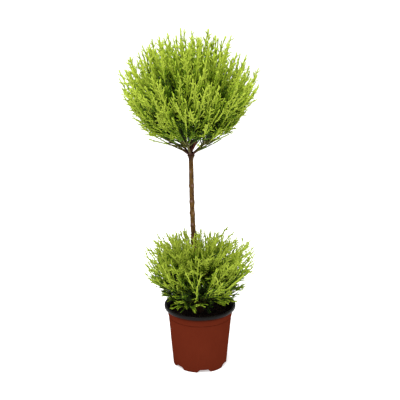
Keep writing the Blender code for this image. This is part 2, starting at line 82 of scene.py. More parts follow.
# Runs of rings up the wall, as lowest, highest and count: close together where there is detail.
WALL_RINGS = ((0.0015, 0.020, 26), (0.023, 0.099, 20), (0.100, 0.1055, 23),
              (0.108, POT_HEIGHT - LIP_HEIGHT - BLACK_LIP_SHADOW, 9))
LINING_UNDER_RIM = 0.008
LINING_OVER_FLOOR = 0.002
LINING_RINGS = 24
SHOULDER_HEIGHT = 0.102
SHOULDER_STEP = 0.0007
CREASE_DEPTH = 0.0009
CREASE_HALF_WIDTH = 0.0006
WALL_UNEVENNESS = 0.00012
WALL_RIPPLE = 0.030
LIP_UNEVENNESS = 0.00018
LIP_RIPPLE = 0.035
FOOT_WIDTH = 0.005
FOOT_HEIGHT = 0.006
FOOT_DRAFT = 0.0012
FOOT_ROUNDING = 0.0013
FLOOR_BEND = 0.0006
TABLE_GAP = 0.0002
BOSS_RADIUS = 0.016
BOSS_ROUNDING = 0.001
NOTCH_COUNT = 6
NOTCH_HEIGHT = 0.0053
NOTCH_FOOT_WIDTH = 0.027
NOTCH_TOP_WIDTH = 0.0165
NOTCH_TURN = math.radians(-90 + 9)
NOTCH_BLEND = 0.010
STIPPLE_HEIGHT = 0.0125
STIPPLE_FADE = (0.002, 0.0045)
STIPPLE_OFF_NOTCH = (0.006, 0.009)
STIPPLE_PITCH = 0.0028
STIPPLE_DEPTH = 0.00035
STIPPLE_RISE = 0.2
POT_SIDES = 288


def linear(colour):
    """An sRGB hex colour in linear light: a channel over 12.92 up to 0.04045, and above that the
    power 2.4 of the sum of it and 0.055, over 1.055."""
    parts = [int(colour[i:i + 2], 16) / 255 for i in (1, 3, 5)]
    return [c / 12.92 if c <= 0.04045 else ((c + 0.055) / 1.055) ** 2.4 for c in parts] + [1.0]


def add_node(material, kind, sockets=None, feeds=None, to=None, **settings):
    """Add a shader node, set its properties and sockets, and link what feeds it and it feeds."""
    node = material.node_tree.nodes.new("ShaderNode" + kind)
    link = material.node_tree.links.new
    for name, value in settings.items():
        setattr(node, name, value)
    for name, value in (sockets or {}).items():
        node.inputs[name].default_value = value
    for name, (source, output) in (feeds or {}).items():
        link(source.outputs[output], node.inputs[name])
    for name, (target, socket) in (to or {}).items():
        link(node.outputs[name], target.inputs[socket])
    return node


def finish(name, colour, roughness, specular, ior=1.45):
    """A material whose surface is one Principled shader, and that shader."""
    material = bpy.data.materials.new(name)
    material.use_nodes = True
    shader = material.node_tree.nodes["Principled BSDF"]
    for socket, value in (("Base Color", linear(colour)), ("Roughness", roughness),
                          ("Specular IOR Level", specular), ("IOR", ior)):
        shader.inputs[socket].default_value = value
    return material, shader


def laid_over(material, under, name, colour, to=None):
    """Mix a colour over the one under it, as far as a share marked on the piece's points says."""
    share = add_node(material, "Attribute", attribute_name=name)
    return add_node(material, "Mix", {"B": linear(colour)}, {"Factor": (share, "Fac"), "A": under},
                    to, data_type="RGBA")


def noise(material, size, detail, roughness=0.5):
    """A noise in patches of about a size in metres, fixed to the piece."""
    place = add_node(material, "TexCoord")
    sockets = {"Scale": 1 / size, "Detail": detail, "Roughness": roughness}
    return add_node(material, "TexNoise", sockets, {"Vector": (place, "Object")})


def mottled(material, patches, first, second, to=None):
    """Mix two colours as a noise says."""
    return add_node(material, "Mix", {"A": linear(first), "B": linear(second)},
                    {"Factor": (patches, "Fac")}, to, data_type="RGBA")


def roughened(material, shader, patches, strength, distance):
    """Let a noise tip a surface's normals, as if it stood out by a distance in metres."""
    add_node(material, "Bump", {"Strength": strength, "Distance": distance},
             {"Height": (patches, "Fac")}, {"Normal": (shader, "Normal")})


def piece_from(name, points, quads, triangles, materials):
    """One object at the origin from arrays: points (n, 3), quads (m, 4) and triangles (k, 3)."""
    mesh = bpy.data.meshes.new(name)
    mesh.vertices.add(len(points))
    mesh.vertices.foreach_set("co", np.asarray(points, np.float32).ravel())
    corners = np.concatenate([np.ravel(quads), np.ravel(triangles)]).astype(np.int32)
    sizes = np.concatenate([np.full(len(quads), 4), np.full(len(triangles), 3)])
    starts = np.concatenate([[0], np.cumsum(sizes)[:-1]]).astype(np.int32)
    mesh.loops.add(len(corners))
    mesh.loops.foreach_set("vertex_index", corners)
    mesh.polygons.add(len(sizes))
    mesh.polygons.foreach_set("loop_start", starts)
    mesh.update(calc_edges=True)
    mesh.shade_smooth()
    for material in materials:
        mesh.materials.append(material)
    piece = bpy.data.objects.new(name, mesh)
    scene.collection.objects.link(piece)
    return piece


def mark(piece, name, shares):
    """Give each point of a piece a share from 0 to 1, which its material reads by that name."""
    attribute = piece.data.attributes.new(name, "FLOAT", "POINT")
    attribute.data.foreach_set("value", np.asarray(shares, np.float32))


def turned(radii, angles, heights):
    """Points round the upright axis: radius times cosine, radius times sine, and height."""
    across = radii * np.cos(angles), radii * np.sin(angles)
    return np.stack(np.broadcast_arrays(*across, heights), axis=-1)


def lathed(first, rows, last):
    """A turned skin as points, quads and fans: a pole, rows of points, and a second pole.

    A quad joins a point and the next one round to the same two of the next row, and fans close the
    poles. Faces point outwards where rows run up on the outside.
    """
    rings, sides = rows.shape[:2]
    starts = 1 + sides * np.arange(rings)[:, None]
    side = np.arange(sides)
    here, beside = starts + side, starts + (side + 1) % sides
    quads = np.stack([here[:-1], beside[:-1], beside[1:], here[1:]], axis=-1).reshape(-1, 4)
    under = np.stack([0 * side, beside[0], here[0]], axis=-1)
    over = np.stack([here[-1], beside[-1], 0 * side + 1 + rings * sides], axis=-1)
    points = np.concatenate([[first], rows.reshape(-1, 3), [last]])
    return points, quads, np.concatenate([under, over])


def wall_radius(height):
    """Outer radius of the wall: a straight taper, and at the stacking shoulder a step out, which
    grows with a share s of its height as three s squared less two s cubed."""
    share = height / (POT_HEIGHT - LIP_HEIGHT)
    radius = WALL_BASE_RADIUS + (WALL_TOP_RADIUS - WALL_BASE_RADIUS) * share
    step = np.clip((height - SHOULDER_HEIGHT) / (2 * SHOULDER_STEP), 0, 1)
    return radius + SHOULDER_STEP * step * step * (3 - 2 * step)


def ramp(value, start, end):
    """0 at start, 1 at end, straight between them."""
    return np.clip((value - start) / (end - start), 0, 1)


def unit(vectors):
    """Vectors divided by their length."""
    return vectors / np.linalg.norm(vectors, axis=-1, keepdims=True)


def headings(count, rng):
    """Unit vectors spread evenly over all directions, from normal draws."""
    return unit(rng.normal(size=(count, 3)))


def ripples(points, wavelength, seed, waves=14):
    """Smooth unevenness of about -1 to 1: the sum of sine waves with seeded headings and 0.7 to 1.4
    times the wavelength, over the root of their number."""
    rng = np.random.default_rng(seed)
    pace = headings(waves, rng) * (2 * np.pi / (wavelength * rng.uniform(0.7, 1.4, (waves, 1))))
    phases = rng.uniform(0, 2 * np.pi, waves)
    return np.sin(points @ pace.T + phases).sum(axis=-1) / math.sqrt(waves)


def arc(centre, radius, start, end, steps):
    """Points of the profile on a circle, at even angles from start to end in degrees."""
    angles = np.radians(np.linspace(start, end, steps))
    return centre + radius * np.stack([np.cos(angles), np.sin(angles)], axis=-1)


# The profile in (radius, height), from the middle of the underside to the middle of the floor.
floor_under, floor_over = FOOT_HEIGHT, FOOT_HEIGHT + WALL_THICKNESS
foot_inner = WALL_BASE_RADIUS - FOOT_WIDTH
foot_top = foot_inner - FOOT_DRAFT
lip_under = POT_HEIGHT - LIP_HEIGHT
lip_edge = lip_under - LIP_DROP
lip_inner = wall_radius(lip_under) - WALL_THICKNESS
outer_heights = np.concatenate([np.linspace(*run) for run in WALL_RINGS] + [[lip_edge]])
inner_heights = np.linspace(POT_HEIGHT - LINING_UNDER_RIM, floor_over + LINING_OVER_FLOOR,
                            LINING_RINGS)
underside = np.concatenate([
    [(0.006, TABLE_GAP), (BOSS_RADIUS, TABLE_GAP)],
    arc((BOSS_RADIUS, BOSS_ROUNDING), BOSS_ROUNDING, -60, 0, 3),
    [(BOSS_RADIUS + 0.002, floor_under - FLOOR_BEND), (BOSS_RADIUS + 0.004, floor_under),
     (0.030, floor_under), (foot_inner - 0.004, floor_under)]])
foot = np.concatenate([
    [(foot_top, floor_under - FLOOR_BEND), (foot_top + 0.0006, 0.003), (foot_top + 0.0010, 0.0006),
     (foot_inner + 0.0008, 0.0), (WALL_BASE_RADIUS - 0.002, 0.0)],
    arc((WALL_BASE_RADIUS - 0.0012, FOOT_ROUNDING), FOOT_ROUNDING, -80, -15, 4)])
crease = CREASE_DEPTH * np.exp(-((outer_heights - SHOULDER_HEIGHT) / CREASE_HALF_WIDTH) ** 2)
wall = np.stack([wall_radius(outer_heights) - crease, outer_heights], axis=-1)
lip = np.concatenate([
    [(wall_radius(lip_under) + 0.0004, lip_edge), (LIP_RADIUS - 0.0022, lip_edge)],
    arc((LIP_RADIUS - LIP_EDGE_ROUNDING, lip_edge + 0.0013), LIP_EDGE_ROUNDING, -80, 0, 4),
    arc((LIP_RADIUS - LIP_ROLL, POT_HEIGHT - LIP_ROLL), LIP_ROLL, 0, 90, 7),
    arc((LIP_RADIUS - 0.0027, POT_HEIGHT - LIP_INNER_ROLL), LIP_INNER_ROLL, 100, 155, 4),
    [(LIP_RADIUS - 0.0045, POT_HEIGHT - 0.0026), (lip_inner + 0.0020, POT_HEIGHT - 0.0048),
     (lip_inner + 0.0008, POT_HEIGHT - 0.0066)]])
lining = np.concatenate([
    np.stack([wall_radius(inner_heights) - WALL_THICKNESS, inner_heights], axis=-1),
    [(0.049, floor_over), (0.030, floor_over), (0.012, floor_over)]])
profile = np.concatenate([underside, foot, wall, lip, lining])

# The notches lift the feet and the wall's lowest part, less and less with height.
angles = np.linspace(0, 2 * np.pi, POT_SIDES, endpoint=False)
turn = (angles - NOTCH_TURN) * NOTCH_COUNT / (2 * np.pi)
off_notch = np.abs(turn - np.round(turn)) * 2 * np.pi * WALL_BASE_RADIUS / NOTCH_COUNT
lift = NOTCH_HEIGHT * (1 - ramp(off_notch, NOTCH_TOP_WIDTH / 2, NOTCH_FOOT_WIDTH / 2))
radii = np.repeat(profile[:, :1], POT_SIDES, axis=1)
heights = np.repeat(profile[:, 1:], POT_SIDES, axis=1)
ring = np.arange(len(profile))[:, None]
foot_rows = slice(len(underside), len(underside) + len(foot))
wall_rows = slice(foot_rows.stop, foot_rows.stop + len(wall))
lip_rows = slice(wall_rows.stop, wall_rows.stop + len(lip))
rise = np.where(ring < foot_rows.start + 3, FOOT_HEIGHT, NOTCH_BLEND)
lifted = heights + lift * np.clip(1 - heights / rise, 0, 1)
heights = np.where((ring >= foot_rows.start) & (ring < wall_rows.stop), lifted, heights)

# Unevenness, and a band of stippling between the notches: a chequer of dents on a cosine each way.
spots = turned(radii, angles, heights)
radii += WALL_UNEVENNESS * ripples(spots, WALL_RIPPLE, seed=5)
near = (1 - ramp(np.abs(heights - STIPPLE_HEIGHT), *STIPPLE_FADE)) * (
    1 - ramp(off_notch, *STIPPLE_OFF_NOTCH))
dents = np.cos(2 * np.pi * heights / STIPPLE_PITCH) * np.cos(
    angles * WALL_BASE_RADIUS * 2 * np.pi / STIPPLE_PITCH) * near
radii[wall_rows] -= STIPPLE_DEPTH * np.clip(dents, -STIPPLE_RISE, 1)[wall_rows]
heights[lip_rows] += LIP_UNEVENNESS * ripples(spots, LIP_RIPPLE, seed=8)[lip_rows]
points, quads, fans = lathed([0, 0, TABLE_GAP], turned(radii, angles, heights),
                             [0, 0, floor_over])

# Terracotta-coloured polypropylene, vacuum formed: an even dull red-brown with hardly any gloss,
# faintly clouded, with painted shadow just under the lip. Its grain is drawn coarse, 1.2 mm, to
# show.
terracotta, shader = finish("polypropylene_terracotta", "#592113", roughness=0.6, specular=0.0,
                            ior=1.49)
clouds = noise(terracotta, 0.035, detail=3.0, roughness=0.55)
mix = mottled(terracotta, clouds, "#521d10", "#5b2314")
# Painted shadow under the lip, read from a share marked on the points.
laid_over(terracotta, (mix, "Result"), "dark_under_lip", "#120b09",
          {"Result": (shader, "Base Color")})
grain = noise(terracotta, 0.0012, detail=2.0)
roughened(terracotta, shader, grain, strength=0.10, distance=0.0002)

# Black polypropylene, the sheet's inner ply, which also shows on the rolled lip: near black and
# satin, with a thin haze of dust in patches of 6 mm.
black, shader = finish("polypropylene_black", "#0f0e0d", roughness=0.35, specular=0.07, ior=1.49)
dust = noise(black, 0.006, detail=4.0, roughness=0.6)
mottled(black, dust, "#0c0b0b", "#151312", {"Result": (shader, "Base Color")})

# The black goes on from the wall's last rings: a line under the lip, which is painted shadow, then
# the lip and the inside, where the black ply shows.
pot = piece_from("nursery_pot", points, quads, fans, [terracotta, black])
plies = np.repeat(np.arange(len(profile) - 1) >= lip_rows.start - 2, POT_SIDES)
plies = np.concatenate([plies, np.zeros(POT_SIDES), np.ones(POT_SIDES)]).astype(np.int32)
pot.data.polygons.foreach_set("material_index", plies)
# Painted shadow under the lip: darkest at the lip, fading down the wall.
dark = DARKEST_LIP_SHADOW * ramp(points[:, 2], *LIP_SHADOW_HEIGHTS) ** LIP_SHADOW_POWER
mark(pot, "dark_under_lip", dark)
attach(pot, "root")
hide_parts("pot")


# The compost
# Moist dark peat-based potting compost, filled to a little under the rim and settled by watering:
# an uneven bed, with loose crumbs and reddish bark fibres lying on it.

SOIL_TOP = 0.1105
SOIL_GAP = 0.0004
SOIL_EDGE_DROP = 0.003
SOIL_FALL = (0.014, 0.0615)
SOIL_SIDE_DROP = 0.008
SOIL_RING = 0.002
SOIL_RINGS = 46
SOIL_SIDE_RINGS = 8
SOIL_SIDES = 160
CLODS = ((0.0011, 0.016, 31), (0.0007, 0.005, 32))
CLODS_FROM = (0.006, 0.012)
STREWN_FROM = 0.02
CRUMBS = 1500
CRUMB_MARGIN = 0.0022
CRUMB_SIZE = 0.0005
CRUMB_EXTRA_SIZE = 0.0012
CRUMB_LIFT = 0.3
CRUMB_STRETCH = (0.55, 1.25)
CRUMB_ROUGHNESS = 0.18
FIBRES = 320
FIBRE_MARGIN = 0.008
FIBRE_LIFT = 0.0005
FIBRE_HALF_LENGTH = (0.002, 0.0055)
FIBRE_RISE = 0.12
FIBRE_BEND = 0.001
FIBRE_BEND_RISE = 0.3
FIBRE_THICKNESS = (0.0002, 0.0004)


def soil_height(points):
    """Height of the compost: level in the middle, a fall to the wall by the power 1.5 of the way,
    and clods, which are ripples of given heights and lengths."""
    radius = np.hypot(points[..., 0], points[..., 1])
    level = SOIL_TOP - SOIL_EDGE_DROP * ramp(radius, *SOIL_FALL) ** 1.5
    flat = points * [1, 1, 0]
    clods = sum(height * ripples(flat, length, seed) for height, length, seed in CLODS)
    return level + clods * ramp(radius, *CLODS_FROM) - SOIL_GAP


soil_edge = wall_radius(SOIL_TOP) - WALL_THICKNESS - SOIL_GAP
angles = np.linspace(0, 2 * np.pi, SOIL_SIDES, endpoint=False)
top = turned(np.linspace(SOIL_RING, soil_edge, SOIL_RINGS)[::-1, None], angles, 0.0)
top[..., 2] = soil_height(top)
low = np.linspace(floor_over + SOIL_GAP, SOIL_TOP - SOIL_SIDE_DROP, SOIL_SIDE_RINGS)[:, None]
sides = turned(wall_radius(low) - WALL_THICKNESS - SOIL_GAP, angles, low)

# Peat compost: nearly black where moist, dull, with rusty flecks of bark a few millimetres across.
compost, shader = finish("peat_compost", "#120d0a", roughness=0.92, specular=0.15)
flecks = noise(compost, 0.0035, detail=5.0, roughness=0.7)
tones = add_node(compost, "ValToRGB", feeds={"Fac": (flecks, "Fac")},
                 to={"Color": (shader, "Base Color")})
for stop, position, colour in zip(tones.color_ramp.elements, (0.42, 0.72), ("#090705", "#2c1a12")):
    stop.position, stop.color = position, linear(colour)
roughened(compost, shader, flecks, strength=0.6, distance=0.001)

middle = [0, 0, soil_height(np.zeros(3))]
bed = lathed([0, 0, floor_over + SOIL_GAP], np.concatenate([sides, top]), middle)
soil = piece_from("compost_bed", *bed, [compost])
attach(soil, "root")
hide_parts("soil")


def strewn(count, margin, rng):
    """Points spread evenly over the compost: at even angles, and out by the root of even shares."""
    where = (soil_edge - margin) * np.sqrt(rng.uniform(STREWN_FROM, 1, count))
    spots = turned(where, rng.uniform(0, 2 * np.pi, count), 0.0)
    spots[:, 2] = soil_height(spots)
    return spots


# Each crumb is an octahedron whose six corners are drawn out unevenly.
corners = np.array([[1, 0, 0], [-1, 0, 0], [0, 1, 0], [0, -1, 0], [0, 0, 1], [0, 0, -1]], float)
octahedron = np.array([[0, 2, 4], [2, 1, 4], [1, 3, 4], [3, 0, 4],
                       [2, 0, 5], [1, 2, 5], [3, 1, 5], [0, 3, 5]])
rng = np.random.default_rng(41)
spots = strewn(CRUMBS, CRUMB_MARGIN, rng)
sizes = CRUMB_SIZE + CRUMB_EXTRA_SIZE * rng.random(CRUMBS) ** 2
shapes = (corners * rng.uniform(*CRUMB_STRETCH, (CRUMBS, 6, 1))
          + rng.normal(scale=CRUMB_ROUGHNESS, size=(CRUMBS, 6, 3)))
centres = spots + [0, 0, CRUMB_LIFT] * sizes[:, None]
points = (centres[:, None] + shapes * sizes[:, None, None]).reshape(-1, 3)
triangles = (octahedron + 6 * np.arange(CRUMBS)[:, None, None]).reshape(-1, 3)
crumbs = piece_from("compost_crumbs", points, (), triangles, [compost])
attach(crumbs, "root")


def curve(starts, bends, ends, shares):
    """Points of quadratic curves at shares t of their length: the start times (1-t) squared, plus
    the bend times 2t(1-t), plus the end times t squared."""
    t = np.asarray(shares)[..., :, None]
    starts, bends, ends = starts[..., None, :], bends[..., None, :], ends[..., None, :]
    return starts * (1 - t) ** 2 + bends * 2 * t * (1 - t) + ends * t * t


def slopes(starts, bends, ends, shares):
    """Unit directions of quadratic curves at shares t of their length: (1-t) times the way to the
    bend plus t times the way on from it, divided by its length."""
    t = np.asarray(shares)[..., :, None]
    starts, bends, ends = starts[..., None, :], bends[..., None, :], ends[..., None, :]
    return unit((1 - t) * (bends - starts) + t * (ends - bends))


def square_to(sides, along):
    """Each side vector less its part along a direction, divided by its length."""
    return unit(sides - along * (sides * along).sum(axis=-1, keepdims=True))


def sticks(starts, bends, ends, sides, thickness, shares, widths, twist):
    """Three-sided tapering sticks along quadratic curves, as points and triangles.

    At each share of the length stands a triangle of three points, thickness times the width given
    there from the centre, and turned by the twist from the one before it. The root is capped, and
    the last triangle closes to a point at the curve's end.
    """
    count, rings = len(starts), len(shares)
    centre = curve(starts, bends, ends, shares)
    along = slopes(starts, bends, ends, shares)
    across = square_to(sides[:, None], along)
    normal = np.cross(along, across)
    spin = np.cumsum(twist)[:, None] + np.arange(3) * 2 * np.pi / 3
    spread = (across[:, :, None] * np.cos(spin)[..., None]
              + normal[:, :, None] * np.sin(spin)[..., None])
    spread = spread * thickness[:, None, None, None] * np.asarray(widths)[:, None, None]
    corners = (centre[:, :, None] + spread).reshape(count, -1, 3)
    points = np.concatenate([corners, ends[:, None]], axis=1)
    ring, side = np.meshgrid(np.arange(rings - 1) * 3, np.arange(3), indexing="ij")
    here, beside = ring + side, ring + (side + 1) % 3
    first = np.stack([here, beside, here + 3], axis=-1)
    second = np.stack([beside, beside + 3, here + 3], axis=-1)
    last = 3 * (rings - 1)
    caps = [[0, 2, 1], [last, last + 1, last + 3], [last + 1, last + 2, last + 3],
            [last + 2, last, last + 3]]
    faces = np.concatenate([first.reshape(-1, 3), second.reshape(-1, 3), caps])
    faces = faces + np.arange(count)[:, None, None] * (3 * rings + 1)
    return points.reshape(-1, 3), faces.reshape(-1, 3)


def joined(blocks):
    """Blocks of points and faces as one: a block's faces count on from the points before it."""
    points, *kinds = zip(*[block for block in blocks if len(block[0])])
    offsets = np.cumsum([0] + [len(block) for block in points[:-1]])
    return np.concatenate(points), *[
        np.concatenate([faces + offset for faces, offset in zip(kind, offsets)]) for kind in kinds]


# Bark fibre: rusty brown slivers of composted bark, dull and dry on top.
fibre, shader = finish("bark_fibre", "#3a2015", roughness=0.9, specular=0.15)
middles = strewn(FIBRES, FIBRE_MARGIN, rng) + [0, 0, FIBRE_LIFT]
run = headings(FIBRES, rng) * rng.uniform(*FIBRE_HALF_LENGTH, (FIBRES, 1)) * [1, 1, FIBRE_RISE]
bends = middles + headings(FIBRES, rng) * FIBRE_BEND * [1, 1, FIBRE_BEND_RISE]
points, triangles = sticks(
    middles - run, bends, middles + run, headings(FIBRES, rng),
    rng.uniform(*FIBRE_THICKNESS, FIBRES),
    shares=[0.0, 0.5, 0.85], widths=[0.6, 1.0, 0.7], twist=[0.0, 0.2, 0.2])
fibres = piece_from("bark_fibres", points, (), triangles, [fibre])
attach(fibres, "root")


# The trunk
# A young cypress stem, trained bare up to the fork: thin brown bark with shallow upright
# ridges, small knots where side shoots were rubbed off, and a root flare at the compost.

TRUNK_LEAN = -0.0167
FORK_HEIGHT = 0.4255
LEADER_HEIGHT = 0.062
CROWN_TILT = math.radians(-1.2)
TRUNK_FOOT_RADIUS = 0.0053
TRUNK_NECK_RADIUS = 0.0043
LEADER_ROOT_RADIUS = 0.0036
LEADER_TIP_RADIUS = 0.0022
ROOT_FLARE = 0.0038
ROOT_FLARE_LENGTH = 0.007
FORK_SWELLING = 0.0027
FORK_SWELLING_LENGTH = 0.0045
KNOT_HEIGHTS = (0.285, 0.309, 0.333, 0.365)
KNOT_SWELLING = 0.0006
KNOT_LENGTH = 0.0035
# Healed knots, as height and degrees round the stem.
SCARS = ((0.290, -95), (0.311, 175), (0.312, -60), (0.336, -100), (0.366, 178), (0.367, -70),
         (0.352, 40), (0.300, 80), (0.275, 150), (0.262, -110), (0.394, -120), (0.243, -60),
         (0.225, 100), (0.205, -140), (0.325, 120), (0.380, 60))
SCAR_WIDTH = 0.0026
SCAR_RISE = 0.0009
SCAR_SHARPNESS = 1.6
SCAR_PIT_DEPTH = 0.0006
SCAR_PIT_FROM = 0.85
SCAR_PIT_SPAN = 0.15
HEALED_SHARE = 0.85
# Painted shade on the stem: heights and depth of the darkening low down where the bush shades it,
# and at the fork.
BUSH_SHADE_HEIGHTS = (0.16, 0.245)
DARKEST_BUSH_SHADE = 0.85
DARK_FORK = (0.412, 0.424)
DARK_FORK_SHARE = 0.6
BARK_RIDGE = 0.00022
BARK_RIDGE_WIDTH = 0.0022
BARK_RIDGE_MIDDLE = 0.6
BARK_STRETCH = 0.22
BARK_SWELLING = 0.00016
BARK_SWELLING_WIDTH = 0.007
TRUNK_UNDER_SOIL = 0.0035
FLARE_TOP = SOIL_TOP + 0.012
FLARE_RINGS = 16
TRUNK_RINGS = 460
TRUNK_TIP = 0.001
TRUNK_SIDES = 60


def trunk_centre(height):
    """Centre of the trunk: up to the fork it leans as a parabola does, and above it straight."""
    share = (height - SOIL_TOP) / (FORK_HEIGHT - SOIL_TOP)
    lean = np.where(share > 1, TRUNK_LEAN + math.tan(CROWN_TILT) * (height - FORK_HEIGHT),
                    TRUNK_LEAN * (1 - (1 - share) ** 2))
    return np.stack([lean, 0 * height, height], axis=-1)


def trunk_radius(height):
    """Radius of the trunk: straight tapers, a flare that dies away as e to the minus height, and
    swellings that die away both ways as e to the minus square of the distance."""
    below = (height - SOIL_TOP) / (FORK_HEIGHT - SOIL_TOP)
    above = ramp(height, FORK_HEIGHT, FORK_HEIGHT + LEADER_HEIGHT)
    radius = np.where(height > FORK_HEIGHT,
                      LEADER_ROOT_RADIUS + (LEADER_TIP_RADIUS - LEADER_ROOT_RADIUS) * above,
                      TRUNK_FOOT_RADIUS + (TRUNK_NECK_RADIUS - TRUNK_FOOT_RADIUS) * below)
    radius += ROOT_FLARE * np.exp(-(height - SOIL_TOP) / ROOT_FLARE_LENGTH)
    radius += FORK_SWELLING * np.exp(-((height - FORK_HEIGHT) / FORK_SWELLING_LENGTH) ** 2)
    for knot in KNOT_HEIGHTS:
        radius += KNOT_SWELLING * np.exp(-((height - knot) / KNOT_LENGTH) ** 2)
    return radius


def bark_relief(angles, radii, heights, seed):
    """Bark's unevenness in metres: broad ripples, and narrow ones folded up into ridges, drawn out
    along the limb by counting its height for less than its girth."""
    unrolled = turned(radii, angles, heights * BARK_STRETCH)
    ridges = np.abs(ripples(unrolled, BARK_RIDGE_WIDTH, seed)) - BARK_RIDGE_MIDDLE
    swellings = ripples(unrolled, BARK_SWELLING_WIDTH, seed + 1)
    return BARK_RIDGE * ridges + BARK_SWELLING * swellings


heights = np.concatenate([
    np.linspace(SOIL_TOP - TRUNK_UNDER_SOIL, FLARE_TOP, FLARE_RINGS)[:-1],
    np.linspace(FLARE_TOP, FORK_HEIGHT + LEADER_HEIGHT, TRUNK_RINGS)])
angles = np.linspace(0, 2 * np.pi, TRUNK_SIDES, endpoint=False)
height, angle = np.meshgrid(heights, angles, indexing="ij")
radius = trunk_radius(np.maximum(height, SOIL_TOP))
radius += bark_relief(angle, radius, height, seed=51)
scar = np.zeros_like(radius)
for level, facing in SCARS:
    turn = np.angle(np.exp(1j * (angle - math.radians(facing)))) * radius
    away = (turn / SCAR_WIDTH) ** 2 + ((height - level) / SCAR_WIDTH) ** 2
    scar = np.maximum(scar, np.exp(-away * SCAR_SHARPNESS))
pit = np.clip((scar - SCAR_PIT_FROM) / SCAR_PIT_SPAN, 0, 1)
radius = radius + SCAR_RISE * scar - SCAR_PIT_DEPTH * pit
centre = trunk_centre(heights)
points, quads, fans = lathed(centre[0], centre[:, None] + turned(radius, angle, 0 * height),
                             centre[-1] + [0, 0, TRUNK_TIP])

# Young cypress bark: olive to red brown in upright patches, dull, with pinkish grey on the healed
# knots. Painted shade darkens it low down, where the bush shades it, and at the fork.
bark, shader = finish("young_cypress_bark", "#6a4a22", roughness=0.8, specular=0.2)
place = add_node(bark, "TexCoord")
drawn = add_node(bark, "Mapping", {"Scale": (1.0, 1.0, 0.3)}, {"Vector": (place, "Object")})
patches = add_node(bark, "TexNoise", {"Scale": 1 / 0.004, "Detail": 4.0, "Roughness": 0.6},
                   {"Vector": (drawn, "Vector")})
tones = add_node(bark, "ValToRGB", feeds={"Fac": (patches, "Fac")})
for stop, position, colour in zip(tones.color_ramp.elements, (0.36, 0.62), ("#371f0d", "#61461a")):
    stop.position, stop.color = position, linear(colour)
mix = laid_over(bark, (tones, "Color"), "healed", "#7d6056")
# Painted shade, low down inside the bush and at the fork.
laid_over(bark, (mix, "Result"), "darkened", "#200f0a", {"Result": (shader, "Base Color")})
roughened(bark, shader, patches, strength=0.5, distance=0.0004)

trunk = piece_from("trunk_bark", points, quads, fans, [bark])
mark(trunk, "healed", np.concatenate([[0], (scar * HEALED_SHARE).ravel(), [0]]))
# Painted shade where the bush shades the stem, and at the fork.
bush_shade = DARKEST_BUSH_SHADE * (1 - ramp(points[:, 2], *BUSH_SHADE_HEIGHTS))
mark(trunk, "darkened", np.maximum(bush_shade, DARK_FORK_SHARE * ramp(points[:, 2], *DARK_FORK)))
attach(trunk, "root")
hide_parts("trunk")


# The boughs
# Side limbs, one to each mass of foliage, red-brown above and still olive in the lowest masses.
# They rise from the fork, the leader and the stem's foot, taper, and pass on into thinner stems.

CROWN_HALF_WIDTH = 0.126
CROWN_HALF_HEIGHT = 0.116
CROWN_THIN = np.radians((42, 62))
CROWN_THIN_SHARE = 0.26
BUSH_POLE_HEIGHT = 0.118
BUSH_REACH = 0.148
BUSH_FALL = np.radians((40, 78))
BUSH_FALL_SHARE = 0.54
BOUGH_ROOT_RADIUS = 0.0026
BOUGH_TIP_RADIUS = 0.0017
BOUGH_UPTURN = 0.78
BOUGH_SIDES = 16
BOUGH_RINGS = 40
BOUGH_SEED = 60
WOODY_TO_GREEN = (0.35, 1.0)
STEM_ROOT_RADIUS = 0.0017
STEM_TIP_RADIUS = 0.0009
STEM_BEND = 0.5
STEM_MIDDLE = 0.55
STEM_OVERLAP = 0.002
STEM_SIDES = 10
STEM_SEED = 90
SIDEWAYS = np.array([0.3, 0.4, 0.2])
TIERS = (
    dict(name="crown_low", count=6, turn=20, low=44, high=73, height=0.000, bough=0.034,
         rise=57, stem=0.56, plumes=34, lowest=69, sweep=0.17),
    dict(name="crown_high", count=4, turn=50, low=17, high=43, height=0.006, bough=0.044,
         rise=33, stem=0.58, plumes=66, lowest=90, sweep=0.30),
    dict(name="crown_top", count=1, turn=0, low=0, high=16, height=LEADER_HEIGHT, bough=0.0,
         rise=0, stem=0.62, plumes=78, lowest=90, sweep=0.20),
    dict(name="bush_low", count=7, turn=12, low=39, high=86, height=0.006, bough=0.026,
         rise=62, stem=0.50, plumes=42, lowest=82, sweep=0.12),
    dict(name="bush_high", count=3, turn=75, low=7, high=37, height=0.034, bough=0.026,
         rise=24, stem=0.62, plumes=58, lowest=90, sweep=0.14),
)


def smooth(value, start, end):
    """0 below start, 1 above end, and three s squared less two s cubed of the share between."""
    share = ramp(value, start, end)
    return share * share * (3 - 2 * share)


def crown_reach(polar):
    """Distance from the fork to the crown's surface, an upright ellipse through the fork: its
    height times the cosine, over the cosine squared plus the squashed sine squared, less a share
    low down."""
    squash = CROWN_HALF_HEIGHT / CROWN_HALF_WIDTH
    down = np.cos(polar) ** 2 + (squash * np.sin(polar)) ** 2
    thin = CROWN_THIN_SHARE * smooth(polar, *CROWN_THIN)
    return 2 * CROWN_HALF_HEIGHT * np.cos(polar) / down * (1 - thin)


def bush_reach(polar):
    """Distance from the bush's pole to its surface: a dome, drawn in by a share low down."""
    return BUSH_REACH * (1 - BUSH_FALL_SHARE * smooth(polar, *BUSH_FALL))


def heading(azimuth, polar):
    """Unit vectors: the polar sine times the azimuth's cosine and sine, and the polar cosine."""
    return turned(np.sin(polar), azimuth, np.cos(polar))


def tilted(vectors, tilt):
    """Vectors turned about the Y axis: x and z are mixed by the tilt's cosine and sine."""
    cosine, sine = math.cos(tilt), math.sin(tilt)
    return vectors @ np.array([[cosine, 0, sine], [0, 1, 0], [-sine, 0, cosine]]).T


